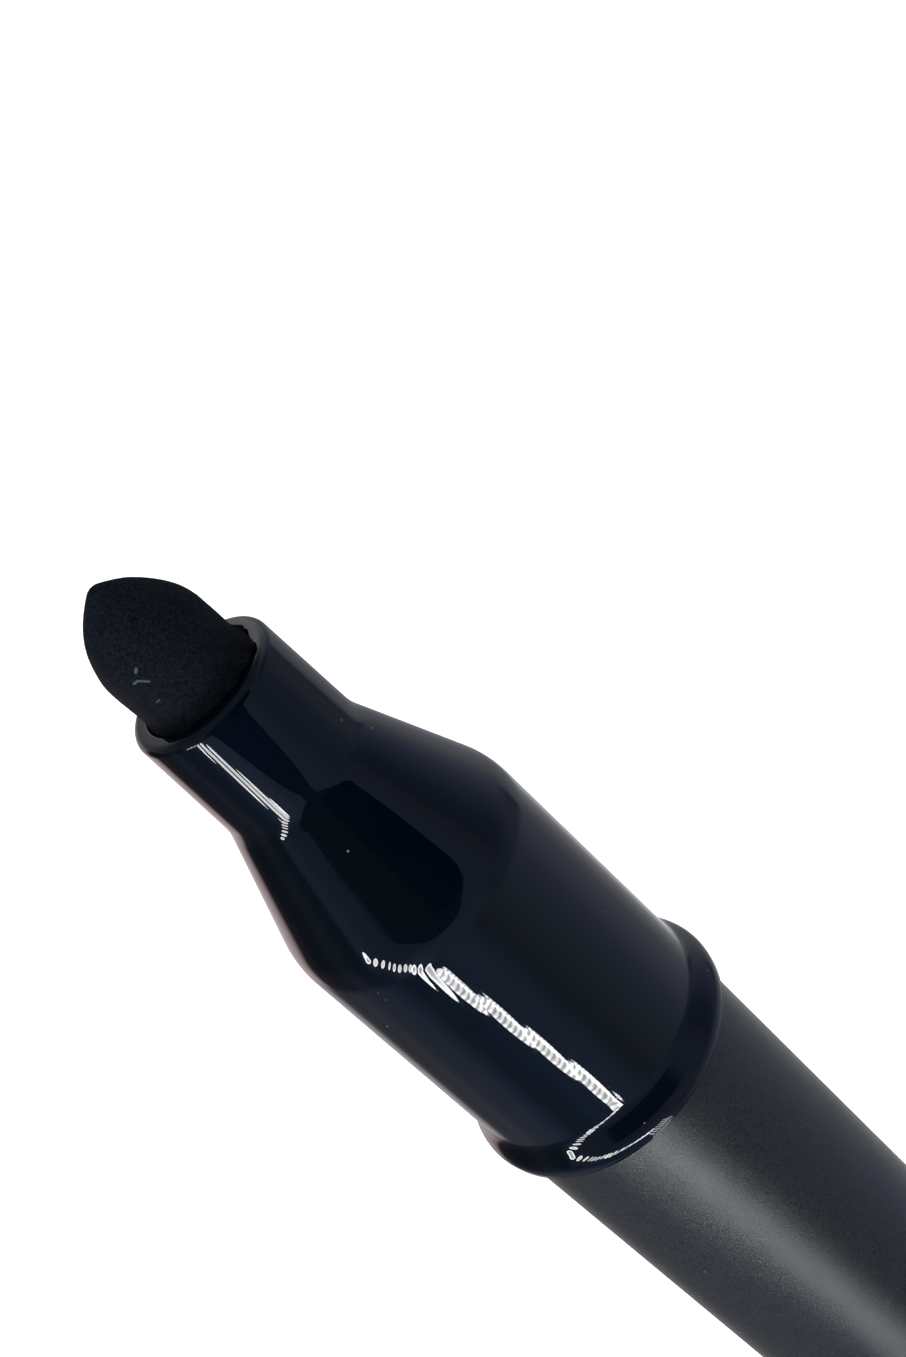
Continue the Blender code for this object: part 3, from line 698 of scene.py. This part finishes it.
room = bpy.data.worlds.new("room")
bpy.context.scene.world = room
tree = bare_tree(room)
ray = add(tree, "ShaderNodeTexCoord").outputs["Generated"]
axes = add(tree, "ShaderNodeSeparateXYZ", None, Vector=ray)
towards = worked_out(tree, "MULTIPLY", axes.outputs["Y"], -1.0)
bearing = worked_out(tree, "ARCTAN2", axes.outputs["X"], towards)
turned = add(tree, "ShaderNodeMapRange", None, Value=bearing, From_Min=-math.pi, From_Max=math.pi)
steep = worked_out(tree, "ARCSINE", axes.outputs["Z"])
elevation = worked_out(tree, "MULTIPLY", steep, 180 / math.pi)
haze = (0.02, 0.02, 0.027)


def tones(stops):
    """The room's tone all round at one height, as (bearing in degrees, red, green, blue)."""
    ramp = add(tree, "ShaderNodeValToRGB", None, Fac=turned.outputs[0])
    for index, (angle, *colour) in enumerate(stops):
        share = (angle + 180) / 360
        stop = ramp.color_ramp.elements[index] if index < 2 else ramp.color_ramp.elements.new(share)
        stop.position = share
        stop.color = (*[tone + veil for tone, veil in zip(colour, haze)], 1)
    return ramp.outputs["Color"]


# Four rings of tones, from near the ground up to the pen's own height and overhead.
low_down = tones([
    (-180, 0.5, 0.48, 0.48), (-147, 0.55, 0.52, 0.53), (-141, 0.36, 0.33, 0.34), (-136, 0.11, 0.1, 0.11),
    (-124, 0.09, 0.1, 0.115), (-112, 0.15, 0.165, 0.2), (-100, 0.13, 0.15, 0.21), (-84, 0.14, 0.19, 0.3),
    (-74, 0.11, 0.15, 0.26), (-62, 0.06, 0.1, 0.17), (-50, 0.06, 0.11, 0.21), (-40, 0.09, 0.16, 0.3),
    (-12, 0.16, 0.24, 0.4), (-2, 0.16, 0.22, 0.36), (6, 0.14, 0.18, 0.28), (16, 0.1, 0.135, 0.2),
    (26, 0.12, 0.15, 0.21), (36, 0.15, 0.19, 0.26), (52, 0.17, 0.21, 0.3), (68, 0.19, 0.235, 0.355),
    (84, 0.225, 0.27, 0.4), (100, 0.27, 0.3, 0.43), (112, 0.27, 0.3, 0.42), (124, 0.27, 0.29, 0.34),
    (136, 0.33, 0.34, 0.37), (150, 0.4, 0.41, 0.43), (160, 0.6, 0.61, 0.63), (180, 0.85, 0.86, 0.88),
])
halfway = tones([
    (-180, 0.8, 0.72, 0.72), (-147, 0.9, 0.76, 0.76), (-139, 1.0, 0.82, 0.82), (-133, 0.7, 0.54, 0.55),
    (-129, 0.08, 0.05, 0.05), (-116, 0.04, 0.04, 0.045), (-104, 0.05, 0.055, 0.065),
    (-93, 0.1, 0.115, 0.155), (-82, 0.05, 0.075, 0.14), (-68, 0.06, 0.1, 0.2), (-58, 0.16, 0.25, 0.42),
    (-36, 0.22, 0.32, 0.52), (-22, 0.16, 0.21, 0.34), (16, 0.15, 0.2, 0.34), (28, 0.15, 0.21, 0.33),
    (44, 0.107, 0.16, 0.25), (60, 0.107, 0.172, 0.265), (80, 0.127, 0.177, 0.28), (92, 0.175, 0.195, 0.295),
    (108, 0.16, 0.18, 0.25), (117, 0.113, 0.133, 0.187), (121, 0.13, 0.15, 0.2), (124, 0.27, 0.3, 0.37),
    (133, 0.34, 0.36, 0.42), (148, 0.28, 0.29, 0.32), (180, 0.25, 0.26, 0.27),
])
level = tones([
    (-180, 0.62, 0.56, 0.56), (-150, 0.76, 0.64, 0.63), (-139, 0.93, 0.7, 0.7), (-134, 0.4, 0.27, 0.27),
    (-129, 0.03, 0.02, 0.02), (-116, 0.012, 0.015, 0.02), (-105, 0.02, 0.027, 0.035),
    (-92, 0.065, 0.085, 0.1), (-84, 0.05, 0.07, 0.085), (-75, 0.03, 0.055, 0.1), (-70, 0.15, 0.2, 0.31),
    (-66, 0.165, 0.215, 0.33), (-58, 0.13, 0.175, 0.27), (-50, 0.12, 0.16, 0.26), (-44, 0.11, 0.145, 0.24),
    (40, 0.145, 0.19, 0.32), (52, 0.135, 0.18, 0.28), (60, 0.135, 0.16, 0.24), (67, 0.08, 0.11, 0.185),
    (76, 0.08, 0.13, 0.215), (84, 0.095, 0.15, 0.245), (92, 0.14, 0.18, 0.32), (100, 0.17, 0.215, 0.37),
    (108, 0.205, 0.255, 0.42), (118, 0.27, 0.3, 0.45), (130, 0.32, 0.345, 0.4), (144, 0.35, 0.375, 0.42),
    (156, 0.29, 0.315, 0.355), (180, 0.4, 0.41, 0.43),
])
lower = blended(tree, smooth(tree, elevation, -34.5, -29.0), low_down, halfway)
around = blended(tree, smooth(tree, elevation, -23.0, -12.0), lower, level)
overhead = tones([
    (-180, 0.9, 0.92, 0.95), (-177, 0.75, 0.76, 0.8), (-172, 0.4, 0.4, 0.42), (-120, 0.2, 0.2, 0.22),
    (-90, 0.12, 0.13, 0.16), (-60, 0.1, 0.13, 0.18), (60, 0.1, 0.13, 0.18), (90, 0.22, 0.24, 0.3),
    (120, 0.5, 0.52, 0.56), (180, 0.75, 0.77, 0.8),
])
behind = blended(tree, smooth(tree, elevation, 10.0, 20.0), around, overhead)
# Behind the dark card the room is dark too, which only the flange's bell sees, from under the card.
under_card = smooth(tree, elevation, -4.0, 3.0)
for value, start, end in [
    (elevation, 18.0, 12.0),
    (bearing, math.radians(-40), math.radians(-33)),
    (bearing, math.radians(40), math.radians(16)),
]:
    under_card = worked_out(tree, "MULTIPLY", under_card, smooth(tree, value, start, end))
behind = blended(tree, under_card, behind, (0.02, 0.04, 0.07, 1))
mirrored = blended(tree, smooth(tree, elevation, 38.0, 52.0), behind, (0.1, 0.125, 0.177, 1))
# The tones are only mirrored. The camera sees white, and all other light comes from an even grey.
path = add(tree, "ShaderNodeLightPath").outputs
lit = blended(tree, path["Is Glossy Ray"], (0.4, 0.4, 0.4, 1), mirrored)
shown = blended(tree, path["Is Camera Ray"], lit, (1, 1, 1, 1))
world = add(tree, "ShaderNodeBackground", None, Color=shown, Strength=1.0)
tree.links.new(world.outputs[0], add(tree, "ShaderNodeOutputWorld").inputs["Surface"])

middle = Vector((0, 0, 0.118))


def soft_lamp(name, place, power, size):
    """A round lamp that faces the nose and lights it without being mirrored in it."""
    light = bpy.data.lights.new(name, "AREA")
    light.energy = power
    light.shape = "DISK"
    light.size = size
    made = bpy.data.objects.new(name, light)
    bpy.context.scene.collection.objects.link(made)
    made.location = place
    made.rotation_euler = (middle - Vector(place)).to_track_quat("-Z", "Y").to_euler()
    made.visible_glossy = False


soft_lamp("soft_key", (-0.7, -0.5, 0.6), power=11.0, size=0.8)
soft_lamp("soft_fill", (0.7, 0.3, 0.9), power=4.0, size=0.9)

# The lamps of the chain hang round the nose. Each is listed as its height and bearing, its length and breadth
# and how far it leans over, all in degrees as the nose sees it, and then how much of its middle is lit.
chain_reach = 0.13
chain_radiance = 20.0
chain_beads = [
    (-4.5, -66.5, 5, 3.2, 50, 0.3), (-7, -62.5, 8, 3.0, 50, 0.9), (-10.3, -58.8, 9, 2.4, 50, 0.9),
    (-13.8, -56, 9, 1.4, 50, 1.0), (-17, -54.5, 9, 1.8, 50, 0.5), (-20, -52.3, 9, 2.3, 50, 0.9),
    (-22, -49, 9, 2.4, 50, 0.9), (-24.6, -46.8, 9, 2.4, 50, 0.9), (-27.3, -46, 11, 3.0, 50, 0.4),
    (-30.5, -43.5, 12, 3.0, 45, 0.3), (-33, -39, 10, 3.0, 30, 0.6), (-35.3, -34.5, 7, 3.4, 2, 0.9),
    (-37.7, -28.8, 7, 3.4, 2, 0.9), (-40, -24.6, 7, 3.4, 2, 0.9), (-42.4, -20.5, 7, 3.4, 2, 0.9),
    (-44.8, -16.5, 7, 3.0, 2, 0.9), (-35, -30, 2.2, 2.4, 0, 1.0), (-37.3, -24.6, 2.2, 2.4, 0, 1.0),
    (-39.6, -20.8, 2.2, 2.4, 0, 1.0), (-42, -16.8, 2.2, 2.4, 0, 1.0), (-44, -13.6, 2.2, 2.0, 0, 1.0),
]


def facing_in(tilt, turn, lean=0):
    """Where a lamp of the chain hangs, at its height and bearing in degrees, turned to face the pen."""
    tilt, turn = math.radians(tilt), math.radians(turn)
    outwards = Vector((math.cos(tilt) * math.sin(turn), -math.cos(tilt) * math.cos(turn), math.sin(tilt)))
    level_way = Vector((-outwards.y, outwards.x, 0)).normalized()
    turned_in = Matrix((level_way, outwards.cross(level_way), outwards)).transposed().to_4x4()
    turned_in @= Matrix.Rotation(math.radians(lean), 4, "Z")
    return Matrix.Translation(middle + outwards * chain_reach) @ turned_in


def near_lamp(name, shape, length, breadth, radiance, place):
    """A lamp close to the pen, which the pen only mirrors. Its power is reckoned from the area of an oval."""
    light = bpy.data.lights.new(name, "AREA")
    light.shape = shape
    light.size = math.radians(length) * chain_reach
    light.size_y = math.radians(breadth) * chain_reach
    light.energy = radiance * math.pi * math.pi / 4 * light.size * light.size_y
    made = bpy.data.objects.new(name, light)
    bpy.context.scene.collection.objects.link(made)
    made.matrix_world = place
    made.visible_diffuse = False
    return light


# A bead is dimmer in its middle, and the lower beads are also ribbed.
dim_within, bright_beyond = 0.35, 0.8
ribbed_below, rib_strength, rib_dimming, rib_scale = -15, 1.4, 0.57, 3.6
for bead, (tilt, turn, length, breadth, lean, filled) in enumerate(chain_beads):
    light = near_lamp(f"bead_{bead:02d}", "ELLIPSE", length, breadth, chain_radiance, facing_in(tilt, turn, lean))
    light.use_nodes = True
    tree = light.node_tree
    face = add(tree, "ShaderNodeNewGeometry").outputs["Parametric"]
    across = add(
        tree, "ShaderNodeVectorMath", {"operation": "MULTIPLY_ADD"}, s0=face, s1=(2, 2, 0), s2=(-1, -1, 0)
    )
    out = add(tree, "ShaderNodeVectorMath", {"operation": "LENGTH"}, s0=across.outputs[0])
    dim, bright = 0.15 + 0.55 * filled, 1.3 - 0.4 * filled
    rim = smooth(tree, out.outputs["Value"], dim_within, bright_beyond, low=dim, high=bright)
    ribs = rib_strength * filled if tilt < ribbed_below else 0.0
    rows = add(tree, "ShaderNodeTexWave", {"bands_direction": "Y"}, Vector=face, Scale=rib_scale)
    ribbed = worked_out(tree, "MULTIPLY_ADD", rows.outputs["Fac"], ribs, 1.0 - rib_dimming * ribs)
    strength = worked_out(tree, "MULTIPLY", rim, ribbed)
    tree.links.new(strength, tree.nodes["Emission"].inputs["Strength"])

# The low lamp's face is striped, so that the barrel's sheen is streaked lengthwise.
sheen = near_lamp("barrel_sheen", "RECTANGLE", length=12, breadth=24, radiance=3.6, place=facing_in(-56, -10))
sheen.use_nodes = True
tree = sheen.node_tree
face = add(tree, "ShaderNodeNewGeometry").outputs["Parametric"]
rows = add(tree, "ShaderNodeTexWave", {"bands_direction": "X"}, Vector=face, Scale=2.2)
strips = smooth(tree, rows.outputs["Fac"], 0.55, 0.8, low=0.1, high=2.4)
tree.links.new(strips, tree.nodes["Emission"].inputs["Strength"])


# The camera, a little above the pen's tip and rolled, as the photograph was taken. Its place, its turn and its
# focal length in pixels were solved from the pen's outline, with the barrel's radius as the measure.
pen_axis = Vector((-0.6009, -0.6053, -0.5220)).normalized()
solved_radius = 6.0
flange_in_view = Vector((1.1107, 2.7868, 15.5985)) * solved_radius * MM
view_depth = Vector((0, 0, 1))
north = (view_depth - pen_axis * view_depth.dot(pen_axis)).normalized()
east = north.cross(pen_axis)
pen_in_view = Matrix((east, north, pen_axis))
focal_length, frame_height = 2066.0, 1357
camera_data = bpy.data.cameras.new("camera")
camera_data.sensor_width = 36.0
camera_data.lens = focal_length / frame_height * camera_data.sensor_width
camera_data.clip_start = 0.005
camera = bpy.data.objects.new("camera", camera_data)
bpy.context.scene.collection.objects.link(camera)
place = Vector((0, 0, flange_plane * MM)) - pen_in_view @ flange_in_view
right, down, forward = (Vector(pen_in_view.col[index]) for index in range(3))
camera.matrix_world = Matrix.Translation(place) @ Matrix((right, -down, -forward)).transposed().to_4x4()
bpy.context.scene.camera = camera
bpy.context.scene.view_settings.view_transform = "Standard"
